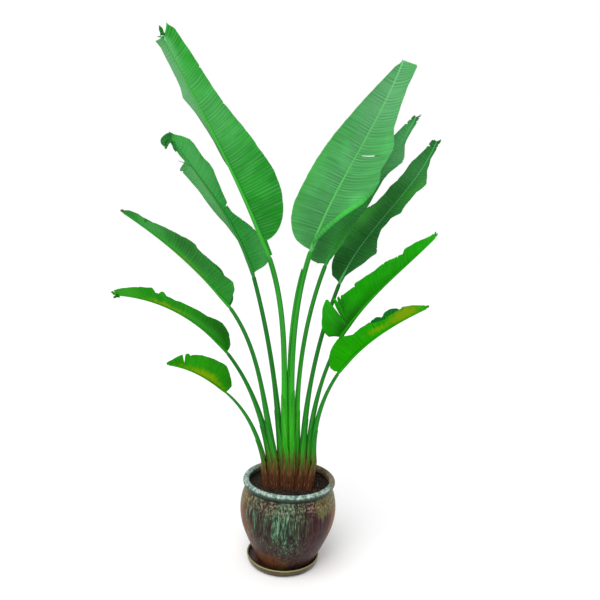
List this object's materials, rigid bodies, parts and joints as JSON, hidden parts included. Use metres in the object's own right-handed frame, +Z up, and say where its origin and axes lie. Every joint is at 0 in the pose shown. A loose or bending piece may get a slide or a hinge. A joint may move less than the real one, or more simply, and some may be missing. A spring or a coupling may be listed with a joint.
{
  "type": "potted travellers palm",
  "caption": "Tall potted plant: a flat fan of paddle leaves on long stalks that rise from a rounded glazed jar on a saucer. It stands on the floor as a decorative indoor plant.",
  "frame": {"origin": "on the flat underside of the saucer, at floor level, below the jar's axis", "axes": "+Z up; the fan of leaves lies in the XZ plane and faces -Y"},
  "size_m": [1.2893, 0.4084, 2.0188],
  "materials": {
    "glaze": "glossy brown glaze with celadon runs",
    "saucer_glaze": "glossy dark brown glaze, olive at the rim",
    "soil": "dark crumbly soil",
    "sheath": "dry fibrous brown sheaths",
    "stalk": "smooth green, slightly waxy",
    "blade": "leathery green, finely veined"
  },
  "bodies": {
    "root": {"saucer": "saucer_glaze", "pot": "glaze", "soil": "soil", "crown": "sheath", "stalk_left_1": "stalk", "stalk_left_2": "stalk", "stalk_left_3": "stalk", "stalk_left_4": "stalk", "stalk_left_5": "stalk", "stalk_right_1": "stalk", "stalk_right_2": "stalk", "stalk_right_3": "stalk", "stalk_right_4": "stalk", "stalk_right_5": "stalk", "blade_left_1": "blade", "blade_left_2": "blade", "blade_left_3": "blade", "blade_left_4": "blade", "blade_left_5": "blade", "blade_right_1": "blade", "blade_right_2": "blade", "blade_right_3": "blade", "blade_right_4": "blade", "blade_right_5": "blade", "spear": "stalk"}
  },
  "joints": []
}
